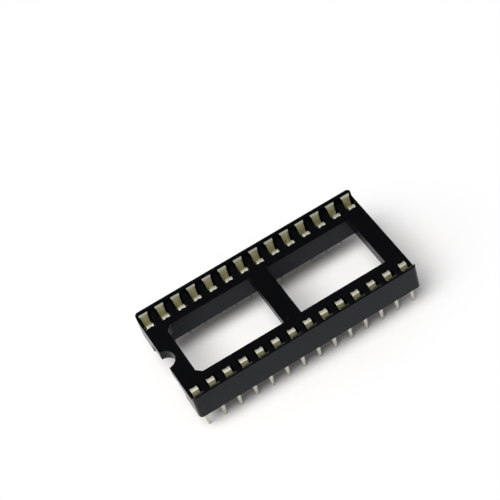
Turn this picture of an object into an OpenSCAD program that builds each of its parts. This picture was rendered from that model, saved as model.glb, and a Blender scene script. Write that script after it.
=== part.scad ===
// Wide 28-way dual-leaf socket for a dual in-line chip.
// Origin: centre of the pin grid, on the plane of the circuit board that the socket stands on.
// +X runs along the rows away from the polarity notch, +Y across the rows, +Z up out of the board.

/* [Pin grid] */
// Number of contacts in each of the two rows
pins_per_row = 14; // [4:1:28]
// Distance from one contact to the next along a row
pitch = 2.54; // [2.3:0.01:3]
// Distance between the centre lines of the two rows
row_spacing = 15.24; // [12:0.01:20]

/* [Housing plan] */
// Housing left beyond the last contact of a row, along the row
end_margin = 1.09; // [1.05:0.01:2]
// From the centre line of a row out to the outer face of its rail
row_to_edge = 1.27; // [1.2:0.01:1.8]
// From the centre line of a row in to the face of its rail that borders the windows
row_to_window = 2.79; // [2:0.01:3.2]
// Radius of the four upright corners of the housing
corner_r = 0.6; // [0.2:0.05:1]
// Width of the two bars that close the ends, along the rows
end_bar_w = 2.7; // [2:0.01:4]
// Width of the bar that joins the rails at mid length, along the rows
mid_bar_w = 2.8; // [1.5:0.05:4]
// Cut across the two window corners nearest to the notch
window_chamfer = 0.75; // [0.2:0.05:1.5]
// Radius of the half-round polarity notch
notch_r = 1.52; // [0.8:0.01:1.8]

/* [Housing heights] */
// Height of the stand-off pads that hold the housing clear of the board
standoff_h = 0.5; // [0.2:0.05:1]
// Height of a rail, from its underside to the top face that the chip lies on
rail_h = 3.5; // [3:0.05:5]
// Rise of the thin outer walls above that top face
wall_rise = 0.95; // [0.6:0.05:1.5]
// Thickness of the raised outer walls at their top, between the contacts
wall_t = 0.49; // [0.3:0.01:0.6]
// Lean of the inner faces of these walls, which grow thicker towards their foot
wall_lean = 0.17; // [0:0.01:0.3]
// Thickness of the two end bars, measured down from the top face
end_bar_t = 1.6; // [1:0.05:2.4]
// Thickness of the mid bar, measured down from the top face
mid_bar_t = 1.1; // [0.8:0.05:2]
// Lean of the bar sides that border the windows, from the top face to the underside of a bar
bar_draft = 0.1; // [0:0.01:0.3]
// Thickness of the floor that each contact stands on
floor_t = 0.8; // [0.5:0.05:1.2]

/* [Contact cavity] */
// Width of a contact cavity along the row
cavity_w = 1.7; // [1.65:0.05:2]
// Depth of the cavity from the centre line of the row towards the windows
cavity_in = 1.48; // [1.3:0.01:1.6]
// Depth of the cavity from the centre line of the row into the outer wall
cavity_out = 0.95; // [0.9:0.01:1.1]
// Gap between a contact and the plastic round it
fit_gap = 0.05; // [0.02:0.01:0.1]

/* [Contact] */
// Thickness of the stamped strip
strip_t = 0.23; // [0.15:0.01:0.28]
// Inner radius of the bends that turn the strip up at both ends of the base
base_bend_r = 0.2; // [0.1:0.01:0.25]
// Height of the upright foot of each leaf above the base
foot_h = 0.6; // [0.4:0.05:0.7]
// Height of the barb on each edge of a foot
barb_h = 0.2; // [0.1:0.01:0.25]
// Width of the head of the outer leaf
outer_leaf_w = 1.34; // [1.1:0.01:1.55]
// Width of the head of the inner leaf, with its rolled lip
inner_leaf_w = 1.09; // [0.9:0.01:1.5]
// Height of these heads, which stand on narrower necks
head_h = 0.25; // [0.15:0.01:0.4]
// Width of both leaves where they grip the lead of the chip
waist_w = 1.02; // [0.8:0.01:1.4]
// Gap between the two leaves at the grip, with no chip fitted
grip_gap = 0.1; // [0.04:0.01:0.2]
// Depth of the grip below the top face of the housing
grip_depth = 1.45; // [1.2:0.01:1.6]
// Length of the upright land that wipes the lead of the chip
grip_land = 0.4; // [0.3:0.01:0.6]
// Rise of the outer leaf above the top face of the housing
leaf_rise = 0.8; // [0.3:0.01:0.9]
// How far the top of the outer leaf stays inside its foot, across the row
leaf_back = 0.04; // [0:0.01:0.25]
// Height of the flared top edge of the outer leaf
flare_h = 0.32; // [0.15:0.01:0.4]
// Outward lean of that top edge
flare_out = 0.14; // [0.05:0.01:0.2]
// Depth of the crown of the inner lip below the top face of the housing
lip_drop = 0.09; // [0.05:0.01:0.4]
// Length of the lip that is rolled over towards the windows
lip_l = 0.55; // [0.45:0.01:0.75]
// Fall of the lip from its crown to its edge
lip_fall = 0.03; // [0.02:0.01:0.2]
// Radius of the shallow scallop in the edge of the lip
scallop_r = 0.4; // [0.3:0.05:0.8]
// Depth of that scallop
scallop_depth = 0.12; // [0.05:0.01:0.2]

/* [Solder tail] */
// Width of the tail where it leaves the base
tail_w = 0.66; // [0.5:0.01:0.9]
// Width of the tail just above its rounded tip
tail_tip_w = 0.38; // [0.25:0.01:0.5]
// Length of the tail below the board plane
tail_l = 3.3; // [2.5:0.05:4.5]
// Length of the window that the tail leaves in the base where it is bent down
lance_l = 0.4; // [0.25:0.01:0.5]
// Width of the cut on each side of the bent tail
lance_cut = 0.06; // [0.04:0.01:0.1]
// Clearance round the tail in the slot of the floor
tail_gap = 0.08; // [0.03:0.01:0.15]
// Width of the bevel that leads the tail slot out to the underside
slot_bevel = 0.3; // [0.1:0.05:0.4]

/* [Stand-off pads] */
// Length of a pad along the row
pad_l = 1.6; // [1:0.1:2.5]
// Width of a pad across the row
pad_w = 1; // [0.6:0.05:1.2]

/* [Hidden] */
contacts = 2 * pins_per_row;
housing_l = (pins_per_row - 1) * pitch + 2 * end_margin;
housing_w = row_spacing + 2 * row_to_edge;
window_w = row_spacing - 2 * row_to_window;
sunk_w = housing_w - 2 * wall_t;

underside_z = standoff_h;
floor_z = underside_z + floor_t;
top_z = underside_z + rail_h;
wall_z = top_z + wall_rise;
bar_z = top_z - end_bar_t;
through = 1;             // how far a cutting shape runs past the face that it opens
round_fn = 64;           // facets of the drawn circles
arc_steps = 6;           // chords in each bend of the strip

// Stations of the strip's centre line: u is measured outwards from the row, z up from the board
base_z = floor_z + strip_t / 2;
base_turn_r = base_bend_r + strip_t / 2;
foot_z = base_z + foot_h;
foot_u = cavity_out - fit_gap - strip_t / 2;
grip_u = (grip_gap + strip_t) / 2;
grip_z = top_z - grip_depth;
leaf_top_u = foot_u - leaf_back;
leaf_top_z = top_z + leaf_rise;
lip_z = top_z - lip_drop - strip_t / 2;
lip_edge_u = -(cavity_in - 2 * fit_gap);
lip_crown_u = lip_edge_u + lip_l;
foot_turn_r = 0.4;       // radius of the bend where a leaf leaves its foot
grip_turn_r = 0.35;      // radius of the bends above and below the grip
flare_turn_r = 0.4;      // radius of the bend below the flared top edge
lip_turn_r = 0.25;       // radius of the crown of the lip
tail_turn_r = (strip_t + tail_gap) / 2;   // radius of the bend that turns the tail down
base_w = cavity_w - 2 * fit_gap;

function contact_name(i) = str("contact_", i < 10 ? "0" : "", i);
function in_front(i) = i <= pins_per_row;
// Pins count along the front row from the notch end, and back along the rear row
function contact_x(i) =
    pitch * (in_front(i) ? i - 1 - (pins_per_row - 1) / 2
                         : (pins_per_row - 1) / 2 - (i - pins_per_row - 1));
function contact_y(i) = (in_front(i) ? -1 : 1) * row_spacing / 2;

// ---- bent strip -------------------------------------------------------------------------

function unit(v) = v / norm(v);
function left_of(v) = [-v.y, v.x];

// Points on the arc of radius r that rounds the corner b of the path a-b-c
function bend(a, b, c, r) =
    let (
        to_a = unit(a - b),
        to_c = unit(c - b),
        half = acos(to_a * to_c) / 2,
        reach = r / tan(half),
        centre = b + unit(to_a + to_c) * r / sin(half),
        from = b + to_a * reach - centre,
        to = b + to_c * reach - centre,
        turn = sign(from.x * to.y - from.y * to.x) * (180 - 2 * half)
    )
    [for (k = [0:arc_steps])
        let (t = turn * k / arc_steps)
        centre + [from.x * cos(t) - from.y * sin(t), from.x * sin(t) + from.y * cos(t)]];

// Path through stations [u, z, radius], rounded at every station but the first and last
function rounded(path) =
    let (p = [for (s = path) [s[0], s[1]]], last = len(path) - 1)
    concat([p[0]],
           [for (i = [1:last - 1]) each bend(p[i - 1], p[i], p[i + 1], path[i][2])],
           [p[last]]);

function heading(p, i) = unit(p[min(i + 1, len(p) - 1)] - p[max(i - 1, 0)]);

// Closed outline of a strip of thickness t whose centre line is p
function ribbon(p, t) = concat(
    [for (i = [0:len(p) - 1]) p[i] + left_of(heading(p, i)) * t / 2],
    [for (i = [len(p) - 1:-1:0]) p[i] - left_of(heading(p, i)) * t / 2]);

// Centre line of the whole strip, from the edge of the lip down, along the base and up again
strip_path = [
    [lip_edge_u, lip_z - lip_fall, 0],
    [lip_crown_u, lip_z, lip_turn_r],
    [-grip_u, grip_z + grip_land / 2, grip_turn_r],
    [-grip_u, grip_z - grip_land / 2, grip_turn_r],
    [-foot_u, foot_z, foot_turn_r],
    [-foot_u, base_z, base_turn_r],
    [foot_u, base_z, base_turn_r],
    [foot_u, foot_z, foot_turn_r],
    [grip_u, grip_z - grip_land / 2, grip_turn_r],
    [grip_u, grip_z + grip_land / 2, grip_turn_r],
    [leaf_top_u - flare_out, leaf_top_z - flare_h, flare_turn_r],
    [leaf_top_u, leaf_top_z, 0]];

// Centre line of the tail, from the outer half of the base down to its tip
tail_path = [[foot_u - base_turn_r, base_z, 0], [0, base_z, tail_turn_r], [0, -tail_l, 0]];

// ---- contact ----------------------------------------------------------------------------

// Turns a drawing in x and z into a wall of thickness t, centred on u = 0
module upright(t) {
    rotate([90, 0, 0]) linear_extrude(height = t, center = true) children();
}

// Turns a drawing in u and z into a bar of length l along the row, centred on x = 0
module along_row(l) {
    rotate([90, 0, 90]) linear_extrude(height = l, center = true) children();
}

// Outline that a leaf is stamped to, seen along u: a wide foot with a barb on each edge that
// bites the side of the cavity, a waist at the grip, a neck and a head of width w
module leaf_outline(w, top) {
    shoulder = top - head_h;
    neck_w = (w + 2 * waist_w) / 3;
    barb_z = base_z + foot_h / 2;
    half = [
        [base_w / 2, floor_z - through], [base_w / 2, barb_z - barb_h], [cavity_w / 2, barb_z],
        [base_w / 2, barb_z], [base_w / 2, barb_z + barb_h / 2], [waist_w / 2, grip_z - grip_land],
        [waist_w / 2, grip_z + grip_land / 2], [neck_w / 2, shoulder - strip_t],
        [w / 2, shoulder], [w / 2, top + through]];
    last = len(half) - 1;
    polygon(concat(half, [for (k = [last:-1:0]) [-half[k].x, half[k].y]]));
}

// The strip bent to a U whose two leaves face each other across the lead of the chip
module spring() {
    leaf_span = cavity_in + cavity_out;
    intersection() {
        along_row(cavity_w) polygon(ribbon(rounded(strip_path), strip_t));
        union() {
            translate([0, leaf_span / 2, 0]) upright(leaf_span) leaf_outline(outer_leaf_w, leaf_top_z);
            translate([0, -leaf_span / 2, 0]) upright(leaf_span) leaf_outline(inner_leaf_w, lip_z);
        }
    }
}

// Solder tail: a tongue bent down from the outer half of the base, tapered to a rounded tip
module tail() {
    tip_r = tail_tip_w / 2;
    tip_arc = [for (k = [0:2 * arc_steps])
        let (t = 180 + 180 * k / (2 * arc_steps))
        [tip_r * cos(t), -tail_l + tip_r + tip_r * sin(t)]];
    shoulder = [[-tail_w / 2, floor_z + 2 * strip_t], [-tail_w / 2, 0]];
    intersection() {
        along_row(cavity_w) polygon(ribbon(rounded(tail_path), strip_t));
        upright(2 * cavity_out) polygon(concat(
            shoulder, tip_arc, [[tail_w / 2, 0], [tail_w / 2, floor_z + 2 * strip_t]]));
    }
}

// Window left in the base by the tongue
module lance() {
    width = tail_w + 2 * lance_cut;
    translate([-width / 2, -strip_t / 2 - lance_l, floor_z - strip_t])
        cube([width, lance_l + strip_t / 2 + tail_turn_r, 3 * strip_t]);
}

module contact() {
    color([0.78, 0.76, 0.68])
    difference() {
        union() {
            difference() {
                spring();
                lance();
            }
            tail();
        }
        // Scallop in the edge of the lip
        translate([0, lip_edge_u - scallop_r + scallop_depth, lip_z - lip_fall - strip_t])
            cylinder(h = 4 * strip_t, r = scallop_r, $fn = round_fn);
    }
}

// Puts a contact that faces the windows with its lip into place i of the pin grid
module place(i) {
    translate([contact_x(i), contact_y(i), 0]) rotate([0, 0, in_front(i) ? 180 : 0]) children();
}

// ---- housing ----------------------------------------------------------------------------

// Plan of the housing with its four rounded corners
module plan() {
    for (x = [-1, 1], y = [-1, 1])
        translate([x * (housing_l / 2 - corner_r), y * (housing_w / 2 - corner_r)])
            circle(r = corner_r, $fn = round_fn);
    square([housing_l - 2 * corner_r, housing_w], center = true);
    square([housing_l, housing_w - 2 * corner_r], center = true);
}

// The two rails, each with a thin wall raised along its outer edge
module rails() {
    difference() {
        translate([0, 0, underside_z]) linear_extrude(height = wall_z - underside_z) plan();
        // Top face, sunk between the two raised walls
        along_row(2 * housing_l) polygon([
            [-sunk_w / 2 + wall_lean, top_z], [sunk_w / 2 - wall_lean, top_z],
            [sunk_w / 2, wall_z], [sunk_w / 2, wall_z + through],
            [-sunk_w / 2, wall_z + through], [-sunk_w / 2, wall_z]]);
        // Space between the rails, open at both ends
        translate([-housing_l, -window_w / 2, -through])
            cube([2 * housing_l, window_w, wall_z + 2 * through]);
    }
}

// Bar of thickness t that ties the rails together and runs into them as far as the rows. It lies
// from x0 to x1 at the top face, and its sides lean out by lean0 and lean1
module bar(x0, x1, t, lean0, lean1) {
    upright(row_spacing)
        polygon([[x0 - lean0, top_z - t], [x0, top_z], [x1, top_z], [x1 + lean1, top_z - t]]);
}

// Plastic left in the two window corners beside the notch
module window_corners() {
    x = -housing_l / 2 + end_bar_w;
    for (side = [-1, 1])
        translate([0, 0, bar_z]) linear_extrude(height = end_bar_t)
            polygon([
                [x - end_bar_w / 2, side * window_w / 2], [x - end_bar_w / 2, side * (window_w / 2 - window_chamfer)],
                [x, side * (window_w / 2 - window_chamfer)], [x + window_chamfer, side * window_w / 2]]);
}

// Cavity for one contact, and the slot in its floor that the tail passes through
module cavity() {
    slot_w = tail_w + 2 * tail_gap;
    slot_t = strip_t + 2 * tail_gap;
    translate([-cavity_w / 2, -cavity_in, floor_z])
        cube([cavity_w, cavity_in + cavity_out, wall_z - floor_z + through]);
    translate([-slot_w / 2, -slot_t / 2, underside_z - through])
        cube([slot_w, slot_t, floor_t + 2 * through]);
    // Bevelled mouth of the slot on the underside
    along_row(slot_w) polygon([
        [-slot_t / 2 - slot_bevel, underside_z - strip_t], [slot_t / 2 + slot_bevel, underside_z - strip_t],
        [slot_t / 2 + slot_bevel, underside_z], [slot_t / 2, underside_z + slot_bevel],
        [-slot_t / 2, underside_z + slot_bevel], [-slot_t / 2 - slot_bevel, underside_z]]);
}

// Six pads under the rails, inside the rows, at the ends and at mid length
module pads() {
    pad_x = housing_l / 2 - end_bar_w / 2;
    pad_y = window_w / 2 + pad_w / 2;
    for (x = [-pad_x, 0, pad_x], side = [-1, 1])
        translate([x - pad_l / 2, side * pad_y - pad_w / 2, 0])
            cube([pad_l, pad_w, standoff_h]);
}

module housing() {
    window_x = housing_l / 2 - end_bar_w;
    color([0.07, 0.07, 0.075])
    difference() {
        union() {
            rails();
            bar(-housing_l / 2, -window_x, end_bar_t, 0, bar_draft);
            bar(-mid_bar_w / 2, mid_bar_w / 2, mid_bar_t, bar_draft, bar_draft);
            bar(window_x, housing_l / 2, end_bar_t, bar_draft, 0);
            window_corners();
            pads();
        }
        // Polarity notch
        translate([-housing_l / 2, 0, bar_z - through])
            cylinder(h = end_bar_t + 2 * through, r = notch_r, $fn = round_fn);
        for (i = [1:contacts]) place(i) cavity();
    }
}

// ---- assembly ---------------------------------------------------------------------------

housing();
for (i = [1:contacts]) {
    place(i) contact();
}
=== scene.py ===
import math

import bpy
import numpy as np
from mathutils import Matrix, Vector


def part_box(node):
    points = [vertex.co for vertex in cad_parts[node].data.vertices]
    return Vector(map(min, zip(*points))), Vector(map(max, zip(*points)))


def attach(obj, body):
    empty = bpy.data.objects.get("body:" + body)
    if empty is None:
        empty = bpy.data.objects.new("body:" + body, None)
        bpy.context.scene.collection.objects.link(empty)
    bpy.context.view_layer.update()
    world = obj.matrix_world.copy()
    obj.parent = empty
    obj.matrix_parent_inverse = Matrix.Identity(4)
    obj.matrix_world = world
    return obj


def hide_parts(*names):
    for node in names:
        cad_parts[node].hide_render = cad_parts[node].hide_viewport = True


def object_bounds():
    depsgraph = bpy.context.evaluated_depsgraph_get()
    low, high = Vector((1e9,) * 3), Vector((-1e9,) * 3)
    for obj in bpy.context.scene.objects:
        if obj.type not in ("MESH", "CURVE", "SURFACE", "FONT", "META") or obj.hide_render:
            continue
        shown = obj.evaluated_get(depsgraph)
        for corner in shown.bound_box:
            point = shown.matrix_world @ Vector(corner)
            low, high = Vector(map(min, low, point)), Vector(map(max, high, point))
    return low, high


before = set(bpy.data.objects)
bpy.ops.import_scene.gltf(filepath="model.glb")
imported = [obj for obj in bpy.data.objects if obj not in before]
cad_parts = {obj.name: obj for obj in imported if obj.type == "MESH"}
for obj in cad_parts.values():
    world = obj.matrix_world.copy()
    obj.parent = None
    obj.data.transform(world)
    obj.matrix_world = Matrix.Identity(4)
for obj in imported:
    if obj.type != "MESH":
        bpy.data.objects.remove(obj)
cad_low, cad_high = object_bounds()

# ---- Housing ----------------------------------------------------------------------------
# The frame of the socket is one injection moulding in black, glass-filled polyester: two rails
# with their contact cavities, two end bars and a mid bar. The tool leaves every edge a little
# rounded and the faces with a fine, even spark-eroded grain.
mm_per_m = 1000
housing_edge_r = 0.035   # mm, radius that the tool leaves on the edges of the moulding


def finished_in_millimetres(name, points, faces, *modifiers):
    """Mesh piece from points in millimetres: the modifiers, each a type and its settings, are
    applied at that size, and the result is then set in metres with smooth shading."""
    mesh = bpy.data.meshes.new(name)
    mesh.from_pydata(points, [], faces)
    mesh.polygons.foreach_set("use_smooth", np.ones(len(mesh.polygons), bool))
    blank = bpy.data.objects.new(name + "_blank", mesh)
    bpy.context.scene.collection.objects.link(blank)
    for kind, settings in modifiers:
        modifier = blank.modifiers.new(kind.lower(), kind)
        for setting, value in settings.items():
            setattr(modifier, setting, value)
    bpy.context.view_layer.update()
    finished = bpy.data.meshes.new_from_object(
        blank.evaluated_get(bpy.context.evaluated_depsgraph_get()))
    bpy.data.objects.remove(blank)
    bpy.data.meshes.remove(mesh)
    finished.name = name
    finished.transform(Matrix.Scale(1 / mm_per_m, 4))
    return finished


def merged_solid(node):
    """Points in millimetres and triangles of a CAD node: corners that share a place become one
    point, so that the loose triangles turn into a closed skin."""
    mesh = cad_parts[node].data
    mesh.calc_loop_triangles()
    corners = np.empty(len(mesh.vertices) * 3)
    mesh.vertices.foreach_get("co", corners)
    triangles = np.empty(len(mesh.loop_triangles) * 3, int)
    mesh.loop_triangles.foreach_get("vertices", triangles)
    points, place = np.unique((corners.reshape(-1, 3) * mm_per_m).round(4), axis=0,
                              return_inverse=True)
    triangles = place.reshape(-1)[triangles].reshape(-1, 3)
    whole = (triangles != np.roll(triangles, 1, axis=1)).all(axis=1)
    return points, triangles[whole]


class Term:
    """One output of a node tree. Python's operators on it add the Math nodes that they name."""

    def __init__(self, nodes, end):
        self.nodes, self.end = nodes, end

    def __add__(self, other):
        return self.nodes.math("ADD", self, other)

    __radd__ = __add__

    def __rsub__(self, other):
        return self.nodes.math("SUBTRACT", other, self)

    def __mul__(self, other):
        return self.nodes.math("MULTIPLY", self, other)

    __rmul__ = __mul__

    def __abs__(self):
        return self.nodes.math("ABSOLUTE", self)


class Nodes:
    """A node tree that is filled from an empty start."""

    def __init__(self, owner):
        owner.use_nodes = True
        self.tree = owner.node_tree
        self.tree.nodes.clear()

    def node(self, kind, settings, sockets, out=0):
        """Adds a node of that type: first its settings, then the values or links of its
        sockets. Gives its output of that name or number."""
        made = self.tree.nodes.new("ShaderNode" + kind)
        for setting, value in settings.items():
            setattr(made, setting, value)
        for socket, value in sockets.items():
            if isinstance(value, Term):
                self.tree.links.new(value.end, made.inputs[socket])
            else:
                made.inputs[socket].default_value = value
        return Term(self, made.outputs[out]) if made.outputs else made

    def math(self, operation, *terms):
        """That operation of a Math node on terms or numbers."""
        return self.node("Math", {"operation": operation}, dict(enumerate(terms)))

    def rise(self, term, start, end):
        """0 below start, 1 above end and a smooth step between."""
        return self.node("MapRange", {"interpolation_type": "SMOOTHSTEP"},
                         {"Value": term, "From Min": start, "From Max": end})

    def noise(self, where, size, detail=2.0, roughness=0.5):
        """Cloudy noise from 0 to 1 whose clouds are about size metres across."""
        return self.node("TexNoise", {}, {"Vector": where, "Scale": 1 / size, "Detail": detail,
                                          "Roughness": roughness})

    def blend(self, mask, low, high):
        """The colour low where the mask is 0 and high where it is 1. A Mix node has a set of
        sockets for each type of data: 6, 7 and output 2 are those for colours."""
        return self.node("Mix", {"data_type": "RGBA"}, {0: mask, 6: low, 7: high}, out=2)


black_plastic = bpy.data.materials.new("black_polyester")
deep_black, flow_black = (0.0020, 0.0022, 0.0026, 1), (0.0034, 0.0036, 0.0042, 1)
scuffed_black = (0.012, 0.012, 0.0125, 1)
nodes = Nodes(black_plastic)
place = nodes.node("TexCoord", {}, {}, out="Object")
melt_flow = nodes.noise(place, size=0.006, detail=3.0)
spark_grain = nodes.noise(place, size=0.00007)
handling = nodes.noise(place, size=0.0011, detail=5.0, roughness=0.7)
scuffs = nodes.rise(handling, 0.60, 0.78)
colour = nodes.blend(melt_flow, deep_black, flow_black)
colour = nodes.blend(scuffs * 0.5, colour, scuffed_black)
nodes.node("OutputMaterial", {}, {"Surface": nodes.node("BsdfPrincipled", {}, {
    "Base Color": colour,
    "Roughness": 0.20 + 0.06 * melt_flow + 0.12 * scuffs,
    "Specular IOR Level": 0.16,
    "Specular Tint": (0.80, 0.87, 1.0, 1),
    "Normal": nodes.node("Bump", {}, {
        "Strength": 0.6, "Distance": 0.000004, "Height": spark_grain + 0.5 * handling}),
})})

housing = bpy.data.objects.new("housing_moulding", finished_in_millimetres(
    "housing_moulding", *merged_solid("housing"),
    ("DECIMATE", {"decimate_type": "DISSOLVE", "angle_limit": math.radians(1)}),
    ("BEVEL", {"width": housing_edge_r, "segments": 2, "limit_method": "ANGLE",
               "angle_limit": math.radians(35), "use_clamp_overlap": False,
               "harden_normals": True})))
housing.data.materials.clear()
housing.data.materials.append(black_plastic)
bpy.context.scene.collection.objects.link(housing)
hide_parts("housing")
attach(housing, "root")

# ---- Contacts ---------------------------------------------------------------------------
# Each contact is stamped from tinned bronze strip and bent: a lip rolled over towards the
# windows, an inner leaf, a base, an outer leaf with a flared top, and a solder tail lanced out
# of the base and turned down. The barbs on its edges hold it in the cavity of the housing.
strip_t = 0.23           # mm, as are all the sizes of a contact
strip_edge_r = 0.028     # rounding that the die leaves on the sheared edges
rounding = 0.001         # room for rounding where two lengths are compared
base_z, base_w = 1.415, 1.6
barb_z, barb_w = 1.715, 1.7
barb_slope, barb_land, barb_back = 0.2, 0.06, 0.04   # heights of the barb's three runs
waist_w, grip_z, grip_land = 1.02, 2.55, 0.4
outer_leaf_w, inner_leaf_w = 1.34, 1.09
foot_u, leaf_top_z = 0.785, 4.8
lip_crown_z = 3.795
head_h = 0.25            # height of the wide head that each leaf carries on a narrower neck
scallop_r, scallop_depth, scallop_fade = 0.4, 0.12, 0.4
tail_w, tail_tip_w = 0.66, 0.38
tail_tip_z, tail_end_z = -2.8, -3.3   # the tip's rounding is drawn between these heights
tail_root_u, lance_w = 0.155, 0.78
# Stations of the strip's centre line: distance u outwards from the row, height z, bend radius.
# It is drawn in two halves that meet where the tail leaves the base.
inner_stations = np.array([
    (-1.38, 3.735, 0), (-1.14, lip_crown_z + 0.01, 0.5), (-0.83, lip_crown_z, 0.25),
    (-0.165, grip_z + grip_land / 2, 0.35), (-0.165, grip_z - grip_land / 2, 0.35),
    (-foot_u, 2.015, 0.4), (-foot_u, base_z, 0.315), (tail_root_u, base_z, 0)])
outer_stations = np.array([
    (tail_root_u, base_z, 0), (foot_u, base_z, 0.315), (foot_u, 2.015, 0.4),
    (0.165, grip_z - grip_land / 2, 0.35), (0.165, grip_z + grip_land / 2, 0.35),
    (0.605, 4.48, 0.4), (0.745, leaf_top_z, 0)])
tail_stations = np.array([(tail_root_u, base_z, 0), (0, base_z, 0.154), (0, tail_end_z, 0)])
# Places across the strip, as parts of its half width, with a place at each side of the tail and
# of the lanced window
half_across = np.array([0, 0.1, 0.2, 0.3, tail_w / base_w, lance_w / base_w, 0.62, 0.8, 1])
across = np.concatenate([-half_across[:0:-1], half_across])


def unit(vectors):
    """Each vector divided by its length."""
    return vectors / np.linalg.norm(vectors, axis=-1, keepdims=True)


def bent_line(stations, chords=8, grain=0.14):
    """Centre line through stations (u, z, r). With a and b the unit vectors to the two
    neighbours of a station and h half the angle between them, the bend's centre lies r / sin h
    along their bisector and its arc starts r / tan h along a. The arc is swung from its first
    spoke to its last by the weights sin((1 - k) t) / sin t and sin(k t) / sin t, where t is the
    angle between the spokes. The straights are then cut into steps no longer than grain."""
    corner, r = stations[1:-1, :2], stations[1:-1, 2:]
    a, b = unit(stations[:-2, :2] - corner), unit(stations[2:, :2] - corner)
    h = np.arccos((a * b).sum(axis=1, keepdims=True)) / 2
    centre = corner + unit(a + b) * r / np.sin(h)
    first, last = corner + a * r / np.tan(h) - centre, corner + b * r / np.tan(h) - centre
    t, k = (math.pi - 2 * h)[:, None], np.linspace(0, 1, chords + 1)[:, None]
    arcs = centre[:, None] + (first[:, None] * np.sin((1 - k) * t)
                              + last[:, None] * np.sin(k * t)) / np.sin(t)
    line = np.concatenate([stations[:1, :2], arcs.reshape(-1, 2), stations[-1:, :2]])
    line = line[np.r_[True, np.linalg.norm(np.diff(line, axis=0), axis=1) > 2 * rounding]]
    steps = np.ceil(np.linalg.norm(np.diff(line, axis=0), axis=1) / grain).astype(int)
    index = np.arange(len(line))
    even = np.interp(np.arange(steps.sum() + 1), np.r_[0, steps.cumsum()], index)
    return np.stack([np.interp(even, index, line[:, c]) for c in (0, 1)], axis=1)


def half_width(line):
    """Half the width that the strip is stamped to at each point of its centre line, in straight
    runs over the height: a wide foot, its barb, the waist at the grip, a neck and the head."""
    heights = [base_z, barb_z - barb_slope, barb_z, barb_z + barb_land,
               barb_z + barb_land + barb_back, grip_z - grip_land, grip_z + grip_land / 2]
    widths = [base_w, base_w, barb_w, base_w, base_w, waist_w, waist_w]
    outer, inner = (
        np.interp(line[:, 1], heights + [top - head_h - strip_t, top - head_h],
                  widths + [(head_w + 2 * waist_w) / 3, head_w])
        for top, head_w in ((leaf_top_z, outer_leaf_w), (lip_crown_z, inner_leaf_w)))
    return np.where(line[:, 0] > 0, outer, inner) / 2


def grid_faces(rows, columns):
    """Quads between neighbouring rows and columns of a grid of points."""
    corner = (np.arange(rows - 1)[:, None] * columns + np.arange(columns - 1)).reshape(-1)
    return np.stack([corner, corner + 1, corner + columns + 1, corner + columns], axis=1)


def strip_sheet():
    """Middle sheet of the bent strip. A point is (half width times its place across, u, z). Near
    the lip the run along the strip starts later by the scallop, the height of a circle's arc
    above its chord, and catches up over the fade. Quads in the lanced window are left out."""
    line = np.concatenate([bent_line(inner_stations), bent_line(outer_stations)[1:]])
    x = half_width(line)[:, None] * across
    run = np.r_[0, np.linalg.norm(np.diff(line, axis=0), axis=1).cumsum()]
    scallop = np.maximum(np.sqrt(np.maximum(scallop_r ** 2 - x[0] ** 2, 0))
                         - scallop_r + scallop_depth, 0)
    late = run[:, None] + scallop * np.maximum(1 - run[:, None] / scallop_fade, 0)
    u, z = (np.interp(late, run, line[:, c]) for c in (0, 1))
    faces = grid_faces(*x.shape)
    middle_x, middle_u, middle_z = (part.reshape(-1)[faces].mean(axis=1) for part in (x, u, z))
    window = ((abs(middle_x) < lance_w / 2) & (middle_z < base_z + rounding)
              & (middle_u < tail_root_u))
    return np.stack([x, u, z], axis=-1).reshape(-1, 3), faces[~window]


def tail_sheet():
    """Middle sheet of the tail. Its width runs straight from root to tip, and each column is
    shortened so that it ends on the half circle of the tip."""
    line = bent_line(tail_stations)
    columns = across[abs(across) < tail_w / base_w + rounding]
    tip_r = tail_tip_w / 2
    half = np.interp(line[:, 1], [tail_end_z + tip_r, 0], [tip_r, tail_w / 2])
    x = half[:, None] * columns / columns.max()
    end_z = tail_end_z + tip_r - np.sqrt(np.maximum(tip_r ** 2 - x[-1] ** 2, 0))
    straight = line[:, 1:] + 0 * x
    z = np.where(straight < tail_tip_z, tail_tip_z + (straight - tail_tip_z)
                 * (tail_tip_z - end_z) / (tail_tip_z - tail_end_z), straight)
    return (np.stack([x, line[:, :1] + 0 * x, z], axis=-1).reshape(-1, 3),
            grid_faces(*x.shape)[:, ::-1])


def joined(*sheets):
    """Several sheets as one, where points within a micrometre of each other become one."""
    starts = np.cumsum([0] + [len(points) for points, _ in sheets[:-1]])
    points = np.concatenate([points for points, _ in sheets])
    faces = np.concatenate([faces + start for (_, faces), start in zip(sheets, starts)])
    used = np.unique(faces)
    _, keep, place = np.unique(points[used].round(3), axis=0, return_index=True,
                               return_inverse=True)
    renumbered = np.zeros(len(points), int)
    renumbered[used] = place.reshape(-1)
    return points[used][keep], renumbered[faces]


def lay_wear_and_shade(mesh):
    """Point attribute from 0 on bright tin to 1 on both leaves, below the crown of the lip and
    below the flared top, rising over a short fade downwards: partly tin rubbed thin with the
    bronze showing through, partly painted shade of the leaves deep in the cavity. The base, the
    tail and the front of the lip keep their tin."""
    bright_top, rubbed_and_shaded_crown, fade, lip_front_u = 0.22, 0.07, 0.15, -1
    points = np.empty(len(mesh.vertices) * 3)
    mesh.vertices.foreach_get("co", points)
    _, u, z = points.reshape(-1, 3).T * mm_per_m
    # Darker olive from just below the crown and the flared top downwards: partly rubbed tin,
    # partly painted shade in the cavity.
    rubbed_and_shaded_below = np.where(u > 0, leaf_top_z - bright_top, lip_crown_z + rubbed_and_shaded_crown)
    wear_and_shade = (np.clip((rubbed_and_shaded_below - z) / fade, 0, 1)
            * (u > lip_front_u) * (z > base_z + strip_t))
    mesh.attributes.new("wear_and_shade", "FLOAT", "POINT").data.foreach_set("value", wear_and_shade)
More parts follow.
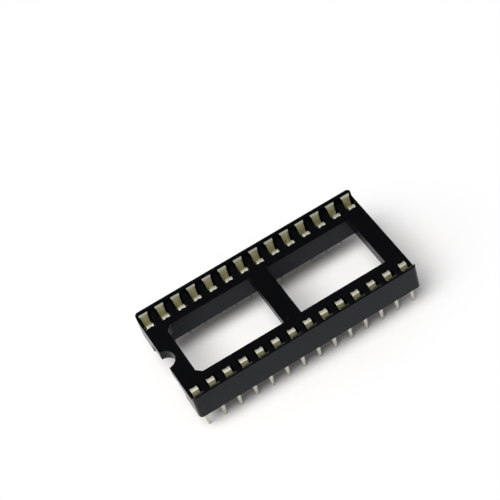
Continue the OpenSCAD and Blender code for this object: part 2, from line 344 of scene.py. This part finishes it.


# Tin in soft clouds, with streaks from the rolling mill along the strip. On the leaves it goes
# over into a dark olive, partly tin rubbed thin and partly painted shade deeper in the cavity.
# It is thin and brown on the sheared edges, painted near-black as shade on the cut tops of the
# outer leaves where they face up, and greyer towards the tips of the tails.
tinned_bronze = bpy.data.materials.new("tinned_bronze")
tin, bright_tin = (0.64, 0.635, 0.53, 1), (0.71, 0.70, 0.60, 1)
# The first colour here is the leaves' dark olive: partly bronze under rubbed tin, partly painted
# shade.
shaded_rubbed_bronze, sheared_bronze = (0.565, 0.54, 0.36, 1), (0.42, 0.35, 0.22, 1)
# The first colour here is near-black painted shade for the upward-facing cut tops of the outer
# leaves.
painted_top_shade, grey_tin = (0.04, 0.038, 0.03, 1), (0.52, 0.52, 0.48, 1)
grey_from_z, grey_to_z = -0.5, -3.5
nodes = Nodes(tinned_bronze)
place = nodes.node("TexCoord", {}, {}, out="Object")
normal = nodes.node("NewGeometry", {}, {}, out="Normal")
sideways = nodes.node("SeparateXYZ", {}, {"Vector": normal}, out="X")
upward = nodes.node("SeparateXYZ", {}, {"Vector": normal}, out="Z")
height = nodes.node("SeparateXYZ", {}, {"Vector": place}, out="Z")
streaked = nodes.node("Mapping", {}, {"Vector": place, "Scale": (1, 1, 0.08)})
rolled = nodes.noise(streaked, size=0.00004, detail=3.0)
cloud = nodes.noise(place, size=0.0009, detail=3.0)
sheared = nodes.rise(abs(sideways), 0.75, 0.95)
# Painted shade: mask of faces that point up near the tops of the outer leaves.
shaded_cut_top = nodes.rise(upward, 0.6, 0.85) * nodes.rise(
    height, (leaf_top_z - 0.1) / mm_per_m, (leaf_top_z - 0.02) / mm_per_m)
greying = nodes.rise(height, grey_from_z / mm_per_m, grey_to_z / mm_per_m)
# Mask of the leaves' darkening towards olive: partly wear, partly painted shade deeper in the
# cavity.
wear_and_shade = nodes.node("Attribute", {"attribute_name": "wear_and_shade"}, {}, out="Fac")
colour = nodes.blend(cloud, tin, bright_tin)
colour = nodes.blend(wear_and_shade, colour, shaded_rubbed_bronze)
colour = nodes.blend(sheared * 0.6, colour, sheared_bronze)
# Painted shade on the upward-facing cut tops of the outer leaves.
colour = nodes.blend(shaded_cut_top, colour, painted_top_shade)
colour = nodes.blend(greying, colour, grey_tin)
nodes.node("OutputMaterial", {}, {"Surface": nodes.node("BsdfPrincipled", {}, {
    "Base Color": colour,
    "Metallic": 1.0,
    "Roughness": 0.58 - 0.12 * wear_and_shade + 0.06 * cloud + 0.06 * rolled,
    "Normal": nodes.node("Bump", {}, {
        "Strength": 0.5, "Distance": 0.000003, "Height": rolled}),
})})

stamped = finished_in_millimetres(
    "contact_stamped", *joined(strip_sheet(), tail_sheet()),
    ("SOLIDIFY", {"thickness": strip_t, "offset": 0, "use_even_offset": True}),
    ("BEVEL", {"width": strip_edge_r, "segments": 2, "limit_method": "ANGLE",
               "angle_limit": math.radians(40), "use_clamp_overlap": False,
               "harden_normals": True}))
stamped.materials.clear()
stamped.materials.append(tinned_bronze)
lay_wear_and_shade(stamped)
for node in sorted(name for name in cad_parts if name.startswith("contact_")):
    low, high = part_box(node)
    back_y, outwards, turn = (high.y, 1, 0) if high.y > 0 else (low.y, -1, math.pi)
    row_y = back_y - outwards * (foot_u + strip_t / 2) / mm_per_m
    mesh = stamped.copy()
    mesh.name = "sprung_" + node
    mesh.transform(Matrix.Translation(((low.x + high.x) / 2, row_y, 0))
                   @ Matrix.Rotation(turn, 4, "Z"))
    contact = bpy.data.objects.new("sprung_" + node, mesh)
    bpy.context.scene.collection.objects.link(contact)
    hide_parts(node)
    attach(contact, "root")
bpy.data.meshes.remove(stamped)

# ---- Floor ------------------------------------------------------------------------------
# A plain white sweep. The socket stands on the tips of its solder tails. Round the socket the
# sweep shows its shadow, and further out it goes over into the even white of the backdrop.
floor_half = 1.5         # metres, as are all the sizes from here on


def seen_rays(nodes):
    """Three masks, each 1 on one kind of ray: from the camera, off a gloss and through glass."""
    return [nodes.node("LightPath", {}, {}, out=kind)
            for kind in ("Is Camera Ray", "Is Glossy Ray", "Is Transmission Ray")]


white_floor = bpy.data.materials.new("white_floor")
paper_white, paper_bright = (0.94, 0.932, 0.922, 1), (0.965, 0.957, 0.948, 1)
white, fade_from, fade_to = (1, 1, 1, 1), cad_high.y, 2.2 * cad_high.y
nodes = Nodes(white_floor)
place = nodes.node("TexCoord", {}, {}, out="Object")
round_socket = nodes.node("Mapping", {}, {
    "Vector": place, "Scale": (cad_high.y / cad_high.x, 1, 0)})
away = nodes.node("VectorMath", {"operation": "LENGTH"}, {"Vector": round_socket}, out="Value")
backdrop = nodes.rise(away, fade_from, fade_to)
camera_ray, glossy_ray, transmission_ray = seen_rays(nodes)
paper = nodes.node("BsdfPrincipled", {}, {
    "Base Color": nodes.blend(nodes.noise(place, size=0.02), paper_white, paper_bright),
    "Roughness": 0.7,
    "Specular IOR Level": 0.2,
})
nodes.node("OutputMaterial", {}, {"Surface": nodes.node("MixShader", {}, {
    "Fac": backdrop * (camera_ray + glossy_ray + transmission_ray),
    1: paper,
    2: nodes.node("Emission", {}, {"Color": white, "Strength": 1.0}),
})})
floor_mesh = bpy.data.meshes.new("floor")
corner_x = floor_half * np.array([-1, 1, 1, -1])
corner_y = floor_half * np.array([-1, -1, 1, 1])
floor_mesh.from_pydata(np.stack([corner_x, corner_y, 0 * corner_x + cad_low.z], axis=1), [],
                       [(0, 1, 2, 3)])
floor_mesh.materials.append(white_floor)
floor = bpy.data.objects.new("floor", floor_mesh)
bpy.context.scene.collection.objects.link(floor)

# ---- Light ------------------------------------------------------------------------------
# One broad lamp hangs overhead, to the left and a little to the front, and faces straight down.
# Round the horizon the room is white, and it is dark between that and the lamp, so that the
# black faces stay black.
lamp_l, lamp_w, lamp_place, lamp_watts = 0.66, 0.40, (-0.30, -0.12, 0.50), 4.4
lamp_data = bpy.data.lights.new("overhead_softbox", "AREA")
lamp_data.shape = "ELLIPSE"
lamp_data.size, lamp_data.size_y = lamp_l, lamp_w
lamp_data.energy = lamp_watts
lamp = bpy.data.objects.new("overhead_softbox", lamp_data)
lamp.location = lamp_place
bpy.context.scene.collection.objects.link(lamp)

world = bpy.data.worlds.new("white_room")
bpy.context.scene.world = world
ceiling, fill_light = (0.05, 0.05, 0.05, 1), (0.18, 0.18, 0.18, 1)
wall_top, ceiling_start = 0.34, 0.50   # sines of the angle above the horizon
nodes = Nodes(world)
direction = nodes.node("TexCoord", {}, {}, out="Generated")
up = nodes.node("SeparateXYZ", {}, {"Vector": direction}, out="Z")
camera_ray, glossy_ray, transmission_ray = seen_rays(nodes)
room = nodes.blend(nodes.rise(up, wall_top, ceiling_start), white, ceiling)
colour = nodes.blend(glossy_ray + transmission_ray, fill_light, room)
nodes.node("OutputWorld", {}, {"Surface": nodes.node("Background", {}, {
    "Color": nodes.blend(camera_ray, colour, white), "Strength": 1.0})})

# ---- Camera -----------------------------------------------------------------------------
# It looks down on the front row from the left, and is turned a little about its own axis.
azimuth, elevation, roll = math.radians(-14.85), math.radians(49.38), math.radians(-19.07)
aim, distance = Vector((0.00114, 0.00906, 0.004)), 0.23375
sensor_mm, lens_mm = 36, 120.1
back = Vector((math.sin(azimuth) * math.cos(elevation), -math.cos(azimuth) * math.cos(elevation),
               math.sin(elevation)))
camera_data = bpy.data.cameras.new("camera")
camera_data.sensor_width, camera_data.lens = sensor_mm, lens_mm
camera_data.clip_start, camera_data.clip_end = 0.01, 10
camera = bpy.data.objects.new("camera", camera_data)
level = Vector((0, 0, 1)).cross(back).normalized()
upright = back.cross(level)
across_view = level * math.cos(roll) + upright * math.sin(roll)
up_view = upright * math.cos(roll) - level * math.sin(roll)
camera.matrix_world = Matrix.Translation(aim + back * distance) @ Matrix(
    (across_view, up_view, back)).transposed().to_4x4()
bpy.context.scene.collection.objects.link(camera)
bpy.context.scene.camera = camera
bpy.context.scene.view_settings.view_transform = "Standard"
